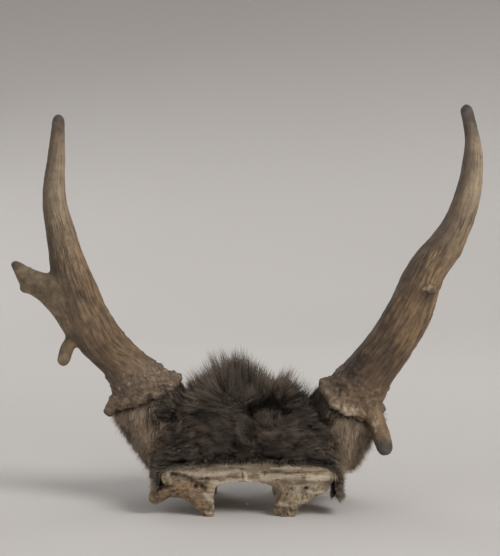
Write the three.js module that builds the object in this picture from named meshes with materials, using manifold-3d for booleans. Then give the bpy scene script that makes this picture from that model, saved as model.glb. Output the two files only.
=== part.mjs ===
// A young deer's antlers on their sawn skull plate, with the dried scalp and its fur.
//
// Millimetres. +Z is up, X runs across the antlers and -Y is the forehead's side.
// The skull stands on its sawn underside, Z = 0, below the middle of the whole object.
// Left and right are a viewer's, who faces the forehead: the left antler is at -X.
//
// The skull is a vault lofted through cross-sections, hollowed by the brain's cavity and cut
// flat in front, behind and below. The scalp is a shell round the vault and the pedicles, and
// the fur a thicker one round the scalp. Each antler is a tapering limb that starts at its burr.

import * as THREE from "three";
import { mergeVertices } from "three/addons/utils/BufferGeometryUtils.js";
import Module from "manifold-3d";

const wasm = await Module();
wasm.setup();

// ---- Driving dimensions ----

const GAP = 0.4; // clear space between two pieces that lie against each other
const SKIN = 3; // thickness of the dried scalp
const FRONT_CUT = -60; // Y of the saw cut across the forehead
const REAR_CUT = 65; // Y of the saw cut across the back of the skull
const FAR = 400; // larger than anything that a cutting block has to remove
const CUTTER_REACH = 3; // how far a cutter reaches past the face that it opens

const VAULT_AROUND = 28; // points round one cross-section
const VAULT_ALONG = 10; // steps from front to back
const CAVITY_AROUND = 20;
const CAVITY_ALONG = 8;
const LIMB_SIDES = 12;
const LIMB_STEP = 15; // length of one step along a beam or tine
const LIMB_LEAST_STEPS = 3;
const TIP_ANGLES = [36, 72]; // degrees up a rounded tip, one ring of points at each
const BALL_AROUND = 12;
const BALL_ALONG = 9;
const DEPTH_SHARE = 0.9; // an antler is this much thinner from front to back than across

// Cross-sections of the skull's outside, each half of it from below the cut up to the middle of
// the top: braincase wall, rim of the eye socket, temple, forehead.
const VAULT = [
  {
    y: -80,
    half: [[38, -15], [38, 0], [42, 10], [56, 22], [76, 24], [82, 32], [76, 40], [40, 43], [0, 45]],
  },
  {
    y: -60,
    half: [[40, -15], [40, 0], [44, 12], [58, 26], [77, 28], [85, 36], [80, 46], [42, 50], [0, 53]],
  },
  {
    y: -30,
    half: [[42, -15], [42, 0], [45, 12], [60, 28], [80, 36], [88, 50], [82, 64], [44, 73], [0, 77]],
  },
  {
    y: 0,
    half: [[43, -15], [43, 0], [46, 12], [62, 31], [82, 46], [88, 63], [76, 84], [42, 99], [0, 105]],
  },
  {
    y: 30,
    half: [[43, -15], [43, 0], [46, 12], [60, 31], [78, 46], [83, 63], [70, 87], [38, 107], [0, 117]],
  },
  {
    y: 65,
    half: [[40, -15], [40, 0], [44, 12], [54, 28], [62, 38], [64, 51], [54, 66], [30, 79], [0, 84]],
  },
  {
    y: 88,
    half: [[36, -15], [36, 0], [38, 10], [44, 20], [50, 28], [50, 38], [42, 50], [24, 58], [0, 60]],
  },
];

// The brain's cavity, which runs right through from front to back, and is open below.
const CAVITY_MIDDLE = -3;
const CAVITY = [
  {
    y: -90,
    half: [[29, -20], [29, 0], [29, 20], [27, 29], [18, 32.5], [0, 33.5]],
  },
  {
    y: -60,
    half: [[29, -20], [29, 0], [29, 20], [27, 29], [18, 32.5], [0, 33.5]],
  },
  {
    y: -20,
    half: [[30, -20], [30, 0], [33, 30], [31, 54], [18, 66], [0, 70]],
  },
  {
    y: 25,
    half: [[31, -20], [31, 0], [35, 35], [33, 68], [19, 86], [0, 92]],
  },
  {
    y: 65,
    half: [[28, -20], [28, 0], [30, 22], [28, 46], [17, 60], [0, 65]],
  },
  {
    y: 95,
    half: [[28, -20], [28, 0], [30, 22], [28, 46], [17, 60], [0, 65]],
  },
];

// The hollow behind each eye socket, beside the brain's cavity, open below.
const TEMPLE_HOLLOW = { x: 66, y: 10, z: 28, radii: [14, 46, 30] };

// The ring of a burr: how many lumps it has, and by what share of its radius they stand out.
const BURR = { lumps: 11, swelling: 0.04, thickness: 5.5, sides: 7 };

// Limbs: the points that the middle line passes, with the radius there.
const LEFT = {
  burr: { at: [-101.5, 8, 110], axis: [-0.34, -0.14, 0.93], radius: 36 },
  pedicle: [
    { at: [-56, 12, 42], r: 34 },
    { at: [-78, 11, 72], r: 31 },
    { at: [-95, 9, 98], r: 32 },
    { at: [-103.5, 7, 118], r: 33.5 },
  ],
  beam: [
    { at: [-98, 9, 100], r: 35 },
    { at: [-104, 7, 114], r: 34 },
    { at: [-118, 1, 134.5], r: 24.8 },
    { at: [-128, -3, 148], r: 21.6 },
    { at: [-138, -6, 158.5], r: 22 },
    { at: [-149.5, -10, 171.5], r: 23.4 },
    { at: [-160, -13, 190], r: 23.2 },
    { at: [-167, -14, 212], r: 20.6 },
    { at: [-177, -11, 236], r: 19.8 },
    { at: [-180.5, -7, 252], r: 17.2 },
    { at: [-186.5, 0, 276], r: 15.2 },
    { at: [-192.5, 5, 300], r: 12.9 },
    { at: [-193.5, 8, 318], r: 11.7 },
    { at: [-190.5, 10, 360], r: 8.3 },
    { at: [-188.5, 6, 386], r: 6.5 },
  ],
  knobs: [
    [
      { at: [-157, -12, 179], r: 16 },
      { at: [-175.5, -18, 167], r: 8 },
      { at: [-180, -21, 155], r: 7 },
      { at: [-182, -22, 149], r: 6.6 },
    ],
    [
      { at: [-122, -2, 117], r: 9 },
      { at: [-133, -8, 103], r: 7 },
      { at: [-138, -12, 97], r: 6 },
    ],
  ],
  fork: [
    [
      { at: [-166, -13, 213], r: 20 },
      { at: [-184, -13, 215.5], r: 18.5 },
      { at: [-200, -14, 220], r: 15.5 },
      { at: [-212, -16, 226], r: 12 },
      { at: [-220.5, -17, 233], r: 9.5 },
      { at: [-229, -18, 243], r: 5.2 },
    ],
    [
      { at: [-208, -15, 221], r: 9 },
      { at: [-217.5, -17, 220.5], r: 6.8 },
      { at: [-219.5, -17, 220.5], r: 6.3 },
    ],
    [
      { at: [-161, -13, 179], r: 21.5 },
      { at: [-179, -13, 200], r: 17 },
      { at: [-197, -14, 213], r: 11.5 },
    ],
  ],
};

const RIGHT = {
  burr: { at: [103, 5, 103], axis: [0.36, -0.38, 0.85], radius: 33 },
  pedicle: [
    { at: [56, 18, 42], r: 37 },
    { at: [80, 18, 64], r: 34 },
    { at: [96, 12, 90], r: 31.5 },
    { at: [107, 4, 112], r: 31.5 },
  ],
  beam: [
    { at: [99, 10, 92], r: 32 },
    { at: [105, 5, 107], r: 31.5 },
    { at: [115, -1, 124], r: 27.5 },
    { at: [125.5, -8, 141], r: 24.8 },
    { at: [137, -15, 157], r: 23.8 },
    { at: [147.5, -20, 173.5], r: 23.8 },
    { at: [163.5, -26, 205], r: 22.4 },
    { at: [171, -28, 228], r: 20.2 },
    { at: [180, -27, 244], r: 18.7 },
    { at: [193.5, -25, 260], r: 18 },
    { at: [203, -22, 276], r: 15.4 },
    { at: [210.5, -20, 291.5], r: 14.3 },
    { at: [219, -14, 317], r: 13 },
    { at: [224, -4, 351], r: 10 },
    { at: [223.5, 3, 371], r: 7.6 },
    { at: [218.5, 7, 396], r: 6.4 },
  ],
  knobs: [
    [
      { at: [172, -36, 220], r: 9.5 },
      { at: [178, -45, 221], r: 7 },
      { at: [179.5, -48, 221], r: 5.5 },
    ],
    [
      { at: [178, -28, 222], r: 7 },
      { at: [186.5, -29, 222], r: 4.5 },
    ],
  ],
  browTine: [
    { at: [119, -10, 110], r: 9 },
    { at: [125.5, -20, 97], r: 8 },
    { at: [129, -25, 84], r: 9 },
    { at: [133.5, -29, 71], r: 9.2 },
    { at: [135.5, -31, 63], r: 8.4 },
  ],
};

// The rim of the left eye socket: a rod that arches from the cut to the broken cheek process.
const SOCKET_RIM = [
  { at: [-34, -52, -4], r: 6 },
  { at: [-39, -52, 7], r: 8.5 },
  { at: [-46, -52, 16], r: 9.5 },
  { at: [-57, -52, 23.5], r: 8.5 },
  { at: [-70, -51, 26], r: 8 },
  { at: [-80, -50.5, 24], r: 7.5 },
  { at: [-87, -50, 19.5], r: 8.3 },
  { at: [-89.5, -50, 17.5], r: 7.8 },
];

// The wall of the right eye socket: its outline from the front, and how deep it is.
const SOCKET_WALL = [
  ...[[22, 34], [80, 33], [79, 26], [70, 21], [59, 14], [50, 10]],
  ...[[49, 3], [42, -5], [33, -5], [26, 6], [24.5, 13]],
];
const SOCKET_WALL_DEPTH = 16;

// Where the scalp ends: its lower edge at the sides, and on the bone in between.
const SCALP_EDGE = { halfWidth: 78, sideZ: 34, middleZ: 47, front: -61, rear: 62 };
// The scalp hangs free below the temples in two short flaps.
const FLAPS = [
  { side: -1, bottom: 27 },
  { side: 1, bottom: 19 },
];
const FLAP = { top: 44, topX: 85.5, bottomX: 88, front: -60, rear: -26 };

// How far the fur stands from the scalp. Tufts add their height round their middles.
const FUR = {
  short: 5, // on the temples and the pedicles
  long: 14, // on the forehead
  fringe: 13, // at the front edge
  tufts: [
    { x: -20, y: 21, height: 30, spread: 33 },
    { x: 46, y: 24, height: 9, spread: 18 },
  ],
  lobe: { x: 90, y: -42, z: 34, radii: [9, 19, 17] },
};
const FUR_EDGE = { sideZ: 30, middleZ: 50, front: -77, rear: 77 };

// ---- Materials ----

const material = (color, roughness) => new THREE.MeshStandardMaterial({ color, roughness, metalness: 0 });
const ANTLER = material("#7d6752", 0.7);
const TINE = material("#8a765f", 0.7);
const BONE = material("#b3a184", 0.8);
const HIDE = material("#6b5340", 0.85);
const FUR_COAT = material("#332a24", 1);

// ---- Solids ----

// A three.js geometry as a solid that can be joined and cut.
function solidOf(geometry) {
  const bare = geometry.clone();
  bare.deleteAttribute("normal");
  bare.deleteAttribute("uv");
  const merged = mergeVertices(bare, 1e-3);
  return new wasm.Manifold(
    new wasm.Mesh({
      numProp: 3,
      vertProperties: merged.attributes.position.array,
      triVerts: new Uint32Array(merged.index.array),
    }),
  );
}

function geometryOf(solid) {
  const mesh = solid.getMesh();
  const geometry = new THREE.BufferGeometry();
  geometry.setAttribute("position", new THREE.BufferAttribute(mesh.vertProperties, 3));
  geometry.setIndex(new THREE.BufferAttribute(mesh.triVerts, 1));
  geometry.computeVertexNormals();
  return geometry;
}

const joined = (solids) => solids.reduce((whole, part) => whole.add(part));
const cutBy = (solid, cutters) => cutters.reduce((rest, cutter) => rest.subtract(cutter), solid);

// A solid without the crumbs of no size that cuts leave beside it.
function withoutCrumbs(solid) {
  const bodies = solidOf(geometryOf(solid)).decompose();
  return bodies.reduce((largest, body) => (body.volume() > largest.volume() ? body : largest));
}

// A closed surface through rings of points, each ring with the same number of them. The first
// and last rings are closed by fans to their middles.
function skinOver(rings) {
  const count = rings[0].length;
  const middle = (ring) => ring.reduce((sum, p) => sum.add(p), new THREE.Vector3()).divideScalar(count);
  const points = [...rings.flat(), middle(rings[0]), middle(rings.at(-1))];
  const first = rings.length * count;
  const index = [];
  for (let j = 0; j < count; j++) {
    const next = (j + 1) % count;
    for (let i = 0; i + 1 < rings.length; i++) {
      const [a, b, c, d] = [i * count + j, i * count + next, (i + 1) * count + j, (i + 1) * count + next];
      index.push(a, b, c, b, d, c);
    }
    const last = (rings.length - 1) * count;
    index.push(first, next, j, first + 1, last + j, last + next);
  }
  const geometry = new THREE.BufferGeometry().setFromPoints(points);
  geometry.setIndex(index);
  geometry.computeVertexNormals();
  return geometry;
}

// A tapering limb with a rounded far end. Its section is an ellipse, thinner along Y.
function limb(stations, grow = 0, depthShare = DEPTH_SHARE) {
  const line = new THREE.CatmullRomCurve3(stations.map((s) => new THREE.Vector3(...s.at)));
  const radii = stations.map((s) => new THREE.Vector3(s.r + grow, 0, 0));
  const sizes = new THREE.CatmullRomCurve3(radii, false, "catmullrom");
  const steps = Math.max(LIMB_LEAST_STEPS, Math.ceil(line.getLength() / LIMB_STEP));
  const ring = (centre, tangent, radius) => {
    const depth = new THREE.Vector3(0, 1, 0).projectOnPlane(tangent).normalize();
    const side = new THREE.Vector3().crossVectors(depth, tangent);
    return Array.from({ length: LIMB_SIDES }, (_, j) => {
      const angle = (2 * Math.PI * j) / LIMB_SIDES;
      return centre
        .clone()
        .addScaledVector(side, radius * Math.cos(angle))
        .addScaledVector(depth, radius * depthShare * Math.sin(angle));
    });
  };
  const rings = [];
  for (let i = 0; i <= steps; i++) {
    const t = line.getUtoTmapping(i / steps);
    rings.push(ring(line.getPoint(t), line.getTangent(t), sizes.getPoint(t).x));
  }
  const [tip, ahead, tipRadius] = [line.getPoint(1), line.getTangent(1), stations.at(-1).r + grow];
  for (const angle of TIP_ANGLES.map(THREE.MathUtils.degToRad)) {
    const centre = tip.clone().addScaledVector(ahead, tipRadius * Math.sin(angle));
    rings.push(ring(centre, ahead, tipRadius * Math.cos(angle)));
  }
  return solidOf(skinOver(rings));
}

// A solid lofted through half cross-sections at given Y, each mirrored about X = middle.
function loft(sections, around, along, middle = 0) {
  const whole = sections.map(({ y, half }) => {
    const right = half.map(([x, z]) => new THREE.Vector3(middle + x, y, z));
    const left = half.slice(0, -1).map(([x, z]) => new THREE.Vector3(middle - x, y, z));
    return [...right, ...left.reverse()];
  });
  const rails = whole[0].map((_, k) => new THREE.CatmullRomCurve3(whole.map((outline) => outline[k])));
  const rings = Array.from({ length: along + 1 }, (_, i) => {
    const outline = rails.map((rail) => rail.getPoint(i / along));
    const closed = new THREE.CatmullRomCurve3(outline, true);
    return Array.from({ length: around }, (_, j) => closed.getPoint(j / around));
  });
  return skinOver(rings.reverse());
}

// The same geometry with every vertex moved out along its normal, by a length or a function.
function grown(geometry, by) {
  const moved = geometry.clone();
  const [position, normal] = [moved.attributes.position, geometry.attributes.normal];
  for (let i = 0; i < position.count; i++) {
    const p = new THREE.Vector3().fromBufferAttribute(position, i);
    const n = new THREE.Vector3().fromBufferAttribute(normal, i);
    p.addScaledVector(n, typeof by === "function" ? by(p) : by);
    position.setXYZ(i, p.x, p.y, p.z);
  }
  return moved;
}

function block([x0, y0, z0], [x1, y1, z1]) {
  const geometry = new THREE.BoxGeometry(x1 - x0, y1 - y0, z1 - z0);
  geometry.translate((x0 + x1) / 2, (y0 + y1) / 2, (z0 + z1) / 2);
  return solidOf(geometry);
}

function ellipsoid([x, y, z], radii) {
  const geometry = new THREE.SphereGeometry(1, BALL_AROUND, BALL_ALONG);
  geometry.scale(...radii);
  geometry.translate(x, y, z);
  return solidOf(geometry);
}

// Everything further out along a burr's axis than the given distance from its plane.
function beyondBurr(burr, distance) {
  const axis = new THREE.Vector3(...burr.axis).normalize();
  const geometry = new THREE.BoxGeometry(FAR, FAR, FAR);
  geometry.translate(0, 0, FAR / 2 + distance);
  geometry.applyQuaternion(new THREE.Quaternion().setFromUnitVectors(new THREE.Vector3(0, 0, 1), axis));
  geometry.translate(...burr.at);
  return solidOf(geometry);
}

// The lumpy ring round the foot of an antler.
function burrRing(burr, grow = 0) {
  const { lumps, swelling, thickness, sides } = BURR;
  const middleRadius = burr.radius - thickness / 3;
  const geometry = new THREE.TorusGeometry(middleRadius, thickness + grow, sides, 2 * lumps);
  const position = geometry.attributes.position;
  for (let i = 0; i < position.count; i++) {
    const [x, y, z] = [position.getX(i), position.getY(i), position.getZ(i)];
    const swell = 1 + swelling * Math.cos(lumps * Math.atan2(y, x));
    position.setXYZ(i, x * swell, y * swell * DEPTH_SHARE, z * swell + thickness);
  }
  const axis = new THREE.Vector3(...burr.axis).normalize();
  geometry.applyQuaternion(new THREE.Quaternion().setFromUnitVectors(new THREE.Vector3(0, 0, 1), axis));
  geometry.translate(...burr.at);
  return solidOf(geometry);
}

// ---- Antlers ----

// The beam with its burr and knobs, as one solid.
function antlerBeam(antler, grow = 0) {
  const beam = joined([limb(antler.beam, grow), burrRing(antler.burr, grow)]);
  const aboveBurr = beam.intersect(beyondBurr(antler.burr, GAP / 2));
  return joined([aboveBurr, ...antler.knobs.map((knob) => limb(knob, grow))]);
}

const leftBeam = antlerBeam(LEFT);
const rightBeam = antlerBeam(RIGHT);
const leftFork = cutBy(joined(LEFT.fork.map((prong) => limb(prong))), [antlerBeam(LEFT, GAP)]);
const rightBrowTine = cutBy(limb(RIGHT.browTine), [antlerBeam(RIGHT, GAP)]);
const antlersWithRoom = [
  antlerBeam(LEFT, GAP),
  antlerBeam(RIGHT, GAP),
  limb(RIGHT.browTine, GAP),
];

// ---- Skull ----

const vault = loft(VAULT, VAULT_AROUND, VAULT_ALONG);
const cavity = solidOf(loft(CAVITY, CAVITY_AROUND, CAVITY_ALONG, CAVITY_MIDDLE));

// The bone that an antler grows from, up to the burr unless it is to reach past it.
function pedicle(antler, grow, past = -GAP / 2) {
  return limb(antler.pedicle, grow).subtract(beyondBurr(antler.burr, past));
}

function socketWall() {
  const outline = new THREE.Shape(SOCKET_WALL.map(([x, z]) => new THREE.Vector2(x, z)));
  const geometry = new THREE.ExtrudeGeometry(outline, { depth: SOCKET_WALL_DEPTH, bevelEnabled: false });
  geometry.rotateX(Math.PI / 2);
  geometry.translate(0, FRONT_CUT + SOCKET_WALL_DEPTH, 0);
  return solidOf(geometry);
}

function skullPlate() {
  const outside = joined([
    solidOf(vault),
    pedicle(LEFT, 0),
    pedicle(RIGHT, 0),
    limb(SOCKET_RIM, 0, 1),
    socketWall(),
  ]);
  const sawn = block([-FAR, FRONT_CUT, 0], [FAR, REAR_CUT, FAR]);
  const { x, y, z, radii } = TEMPLE_HOLLOW;
  const hollows = [-x, x].map((side) => ellipsoid([side, y, z], radii));
  return cutBy(outside.intersect(sawn), [cavity, ...hollows, ...antlersWithRoom]);
}

// ---- Scalp and fur ----

// The skull's outside and pedicles, with every side moved out by the same length.
function wrapped(by, past) {
  return joined([solidOf(grown(vault, by)), pedicle(LEFT, by, past), pedicle(RIGHT, by, past)]);
}

// The same as a cutter, which reaches past the burrs so that no end face lies in another.
const roomFor = (by) => wrapped(by, CUTTER_REACH);

// What lies above an edge that is lower at the sides than in the middle.
function aboveEdge({ sideZ, middleZ, front, rear }) {
  const halfWidth = SCALP_EDGE.halfWidth;
  return joined([
    block([-FAR, front, middleZ], [FAR, rear, FAR]),
    block([-FAR, front, sideZ], [-halfWidth, rear, FAR]),
    block([halfWidth, front, sideZ], [FAR, rear, FAR]),
  ]);
}

// A flap of scalp, as thick as it or grown on every side.
function flap({ side, bottom }, grow = 0) {
  const reach = SKIN / 2 + grow;
  const outline = new THREE.Shape([
    new THREE.Vector2(FLAP.topX - reach, FLAP.top + grow),
    new THREE.Vector2(FLAP.bottomX - reach, bottom - grow),
    new THREE.Vector2(FLAP.bottomX + reach, bottom - grow),
    new THREE.Vector2(FLAP.topX + reach, FLAP.top + grow),
  ]);
  const depth = FLAP.rear - FLAP.front + 2 * grow;
  const geometry = new THREE.ExtrudeGeometry(outline, { depth, bevelEnabled: false });
  geometry.rotateX(Math.PI / 2);
  geometry.translate(0, FLAP.rear + grow, 0);
  if (side < 0) geometry.rotateZ(Math.PI).translate(0, FLAP.front + FLAP.rear, 0);
  return solidOf(geometry);
}

function scalpSkin() {
  const shell = wrapped(GAP + SKIN).intersect(aboveEdge(SCALP_EDGE));
  const withFlaps = joined([shell, ...FLAPS.map((f) => flap(f))]);
  return cutBy(withFlaps, [roomFor(GAP), limb(SOCKET_RIM, GAP, 1), ...antlersWithRoom]);
}

// The fur's depth at a point of the vault.
function furDepth(p) {
  const middle = 1 - THREE.MathUtils.smoothstep(Math.abs(p.x), 20, 88);
  const behindFringe = THREE.MathUtils.smoothstep(p.y, -66, -30);
  const long = THREE.MathUtils.lerp(FUR.fringe, FUR.long, behindFringe);
  const tufts = FUR.tufts.map(({ x, y, height, spread }) => {
    const away = Math.hypot(p.x - x, p.y - y) / spread;
    return p.z > 0 ? height * Math.exp(-away * away) : 0;
  });
  const tuftDepth = tufts.reduce((sum, depth) => sum + depth);
  return GAP + SKIN + THREE.MathUtils.lerp(FUR.short, long, middle) + tuftDepth;
}

function furCoat() {
  const coat = joined([
    solidOf(grown(vault, furDepth)),
    pedicle(LEFT, GAP + SKIN + FUR.short),
    pedicle(RIGHT, GAP + SKIN + FUR.short),
  ]).intersect(aboveEdge(FUR_EDGE));
  const lobes = FLAPS.map(({ side, bottom }) => {
    const { x, y, z, radii } = FUR.lobe;
    const lobe = ellipsoid([side * x, y, z], radii);
    return lobe.intersect(block([-FAR, -FAR, bottom], [FAR, FAR, FAR]));
  });
  const skinWithRoom = [roomFor(2 * GAP + SKIN), ...FLAPS.map((f) => flap(f, GAP))];
  return cutBy(joined([coat, ...lobes]), [...skinWithRoom, limb(SOCKET_RIM, GAP, 1), ...antlersWithRoom]);
}

// ---- The object ----

const specimen = new THREE.Group();
const pieces = [
  ["skull_plate", skullPlate(), BONE],
  ["antler_left", leftBeam, ANTLER],
  ["antler_left_fork", leftFork, TINE],
  ["antler_right", rightBeam, ANTLER],
  ["antler_right_brow_tine", rightBrowTine, TINE],
  ["scalp_skin", scalpSkin(), HIDE],
  ["scalp_fur", furCoat(), FUR_COAT],
];
for (const [name, solid, finish] of pieces) {
  const mesh = new THREE.Mesh(geometryOf(withoutCrumbs(solid)), finish);
  mesh.name = name;
  specimen.add(mesh);
}

export default specimen;
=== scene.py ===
"""A young deer's antlers on their sawn skull plate, with the dried scalp and its fur.

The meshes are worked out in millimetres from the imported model's own solids, and turned into
Blender's metres when an object is made. +Z is up and the forehead faces -Y. Left and right
are a viewer's, who faces the forehead.
"""

import math

import bpy
import numpy as np
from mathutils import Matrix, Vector
from mathutils.bvhtree import BVHTree
from mathutils.kdtree import KDTree


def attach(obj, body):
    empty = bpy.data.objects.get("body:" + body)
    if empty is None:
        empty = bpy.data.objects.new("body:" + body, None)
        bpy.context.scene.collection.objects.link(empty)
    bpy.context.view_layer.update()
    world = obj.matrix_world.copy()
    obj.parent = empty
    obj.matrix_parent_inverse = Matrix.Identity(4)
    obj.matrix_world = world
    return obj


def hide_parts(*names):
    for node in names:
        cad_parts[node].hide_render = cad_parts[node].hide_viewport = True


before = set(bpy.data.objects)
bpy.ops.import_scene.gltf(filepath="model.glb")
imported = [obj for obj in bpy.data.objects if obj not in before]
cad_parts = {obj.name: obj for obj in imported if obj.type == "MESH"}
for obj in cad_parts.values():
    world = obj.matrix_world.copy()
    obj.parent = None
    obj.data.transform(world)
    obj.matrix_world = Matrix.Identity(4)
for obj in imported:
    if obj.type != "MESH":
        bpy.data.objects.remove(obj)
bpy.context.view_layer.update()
scene = bpy.context.scene

MM = 0.001

# ---- Camera, light and stage ----

AIM = Vector((0.0025, 0, 0.2288))  # the point that the camera looks at
CAMERA_DISTANCE = 1.6
CAMERA_ELEVATION = math.radians(4)
LENS = 103.6

FLOOR_RADIUS = 1.6
WALL_RADIUS = 1.7  # radius of the bend from the floor to the wall
WALL_HEIGHT = 3.6
WORLD_LIGHT = 0.4

# ---- Antlers, in millimetres ----

ANTLER_VOXEL = 1.2
SEAM_GROWTH = 0.4  # closes the gap between a beam and its prong
ANTLER_SMOOTHING = 32
PRONG_BLENDING = 90  # rounds of evening out where the grain turns from a beam into its prong
SLAB_STEP = 4  # between two slices of a limb, whose middles make its middle line
SLAB_HALF = 3  # half a slice's thickness
LINE_STEP = 1.0  # between two stations of a middle line
LINE_SMOOTHING = 22
LINE_ENDS = (25, 12)  # how far a middle line is carried on past a limb's foot and past its tip
BEAM_GRAIN = (4.0, 32)  # turns of the grooves round a limb, and how far a groove runs along it
PRONG_GRAIN = (3.0, 30)
FLUTE_GRAIN = (1.3, 110)
PRONG_OFFSET = 40  # keeps a prong's grain apart from its beam's
LIT_SIDE = (0.8, -0.5, 0.3)  # the direction of the key light: the side of an antler that faces it gets a painted highlight, and its ridges are cut deeper there
PEARLS = (1.0, 3.2)  # radii of the smallest and the largest
RIDGE_DEPTH = 2.1  # from the bottom of a groove to the top of a ridge, at most
FLUTE_DEPTH = 1.0  # of the wide hollows that run along a beam
CRUST_REACH = (30, 52)  # a burr's crust is full inside the first distance and ends at the other
FOOT_REACH = (38, 80)  # the same for the smoother foot of the beam
TIP_HEIGHT = 400  # about the highest Z
KNOB_STEP = 6  # length of beam over which its usual radius is taken
KNOB_SHARES = (1.25, 1.6)  # a knob begins and is full at these shares of that radius

# ---- Skull and scalp ----

SKULL_VOXEL = 1.35
SKULL_SMOOTHING = 3
SCALP_VOXEL = 2.6
SCALP_SMOOTHING = 3
FRONT_FACE = -60  # Y of the saw cut across the forehead


# ---- Noise ----

CELL_FACTORS = (73856093, 19349663, 83492791)  # large odd numbers, which scatter the results
SEED_FACTOR = 29712151
MIXERS = (2246822519, 3266489917)
WORD = 0xFFFFFFFF
NOISE_GAIN = 1.7  # brings the noise up to about -1 to 1


def hashed(cells, seed):
    """A number from -1 to 1 for each cell of a lattice, the same on every run."""
    mixed = seed * SEED_FACTOR
    for column, factor in zip(cells.T, CELL_FACTORS):
        mixed = mixed ^ column * factor
    for factor in MIXERS:
        mixed &= WORD
        mixed = (mixed ^ mixed >> 15) * factor
    mixed &= WORD
    return (mixed ^ mixed >> 16) / (WORD // 2) - 1


def noise(points, cell, seed):
    """Smooth noise of about -1 to 1, with lumps about as large as cell. Each seed has its own."""
    scaled = points / cell
    low = np.floor(scaled).astype(np.int64)
    part = scaled - low
    fade = part**3 * (part * (part * 6 - 15) + 10)
    total = np.zeros(len(points))
    for corner in np.ndindex(2, 2, 2):
        weight = np.prod(np.where(corner, fade, 1 - fade), axis=1)
        offset = part - corner
        for axis in range(3):
            total += weight * offset[:, axis] * hashed(low + corner, 3 * seed + axis)
    return total * NOISE_GAIN


def layered(points, cell, seed, layers=3):
    """Noise with finer layers on top, each half as large and half as strong as the last."""
    return sum(noise(points, cell / 2**i, seed + i) / 2**i for i in range(layers))


def swirl(points, cell, seed):
    """Three noises, as a vector for each point."""
    return np.stack([noise(points, cell, seed + k) for k in range(3)], axis=1)


def ramp(value, low, high):
    """0 below low, 1 above high and a smooth rise in between."""
    share = np.clip((value - low) / (high - low), 0, 1)
    return share * share * (3 - 2 * share)


def unit(vectors):
    return vectors / np.maximum(np.linalg.norm(vectors, axis=-1, keepdims=True), 1e-9)


# ---- Meshes as arrays ----


def arrays_of(mesh):
    """A mesh's points, in millimetres, and its triangles."""
    mesh.calc_loop_triangles()
    points = np.empty(len(mesh.vertices) * 3)
    mesh.vertices.foreach_get("co", points)
    faces = np.empty(len(mesh.loop_triangles) * 3, np.int64)
    mesh.loop_triangles.foreach_get("vertices", faces)
    return points.reshape(-1, 3) / MM, faces.reshape(-1, 3)


def cad_solid(node):
    """A CAD node's points and triangles, with the points that coincide made one."""
    points, faces = arrays_of(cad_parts[node].data)
    _, first, same = np.unique(points.round(3), axis=0, return_index=True, return_inverse=True)
    faces = same.reshape(-1)[faces]
    whole = (faces != np.roll(faces, 1, axis=1)).all(1)
    return points[first], faces[whole]


def normals_of(points, faces):
    a, b, c = points[faces].transpose(1, 0, 2)
    across = np.cross(b - a, c - a)
    total = np.zeros_like(points)
    for axis in range(3):
        for corner in range(3):
            total[:, axis] += np.bincount(faces[:, corner], across[:, axis], len(points))
    return unit(total)


def grown(solid, by):
    points, faces = solid
    return points + by * normals_of(points, faces), faces


def mesh_object(name, points, faces, material=None, fields=None):
    """An object with that mesh, and with the fields that its material reads at each point."""
    mesh = bpy.data.meshes.new(name)
    mesh.vertices.add(len(points))
    mesh.vertices.foreach_set("co", (points * MM).astype(np.float32).ravel())
    mesh.loops.add(faces.size)
    mesh.loops.foreach_set("vertex_index", faces.astype(np.int32).ravel())
    mesh.polygons.add(len(faces))
    starts = np.arange(0, faces.size, faces.shape[1], dtype=np.int32)
    mesh.polygons.foreach_set("loop_start", starts)
    mesh.polygons.foreach_set("use_smooth", np.ones(len(faces), bool))
    mesh.update(calc_edges=True)
    for field, values in (fields or {}).items():
        kind, key = ("FLOAT", "value") if values.ndim == 1 else ("FLOAT_VECTOR", "vector")
        attribute = mesh.attributes.new(field, kind, "POINT")
        attribute.data.foreach_set(key, values.astype(np.float32).ravel())
    obj = bpy.data.objects.new(name, mesh)
    scene.collection.objects.link(obj)
    if material:
        mesh.materials.append(material)
    return obj


def remeshed(solid, voxel):
    """The same solid as an even mesh of squares, as arrays of points and triangles."""
    rough = mesh_object("rough", *solid)
    remesh = rough.modifiers.new("even", "REMESH")
    remesh.mode = "VOXEL"
    remesh.voxel_size = voxel * MM
    graph = bpy.context.evaluated_depsgraph_get()
    even = bpy.data.meshes.new_from_object(rough.evaluated_get(graph))
    arrays = arrays_of(even)
    bpy.data.objects.remove(rough)
    bpy.data.meshes.remove(even)
    return arrays


def edges_of(faces):
    pairs = np.sort(faces[:, [0, 1, 1, 2, 2, 0]].reshape(-1, 2), axis=1)
    return np.unique(pairs, axis=0)


def averaged(values, edges, rounds):
    """Values at the points of a mesh, evened out along its edges."""
    a, b = edges.T
    count = len(values)
    degree = np.bincount(edges.ravel(), minlength=count)
    columns = values.reshape(count, -1).copy()
    for _ in range(rounds):
        for axis in range(columns.shape[1]):
            column = columns[:, axis]
            around = np.bincount(a, column[b], count) + np.bincount(b, column[a], count)
            columns[:, axis] = (column + around / degree) / 2
    return columns.reshape(values.shape)


def softened(points, faces, rounds):
    """Points with their facets evened out. What the first pass shrinks, the second gives back."""
    edges = edges_of(faces)
    once = averaged(points, edges, rounds)
    return once + averaged(points - once, edges, rounds)


def evened(solid, voxel, rounds):
    """A solid's surface with its facets evened out: points, triangles and normals."""
    points, faces = remeshed(solid, voxel)
    points = softened(points, faces, rounds)
    return points, faces, normals_of(points, faces)


def tree_of(node):
    points, faces = cad_solid(node)
    return BVHTree.FromPolygons(points.tolist(), faces.tolist())


def tree_of_points(points):
    tree = KDTree(len(points))
    for i, point in enumerate(points):
        tree.insert(point, i)
    tree.balance()
    return tree


def reach_to(tree, points):
    """How far each point is from a surface."""
    return np.array([tree.find_nearest(Vector(p))[3] for p in points])


# ---- Materials ----


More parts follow.
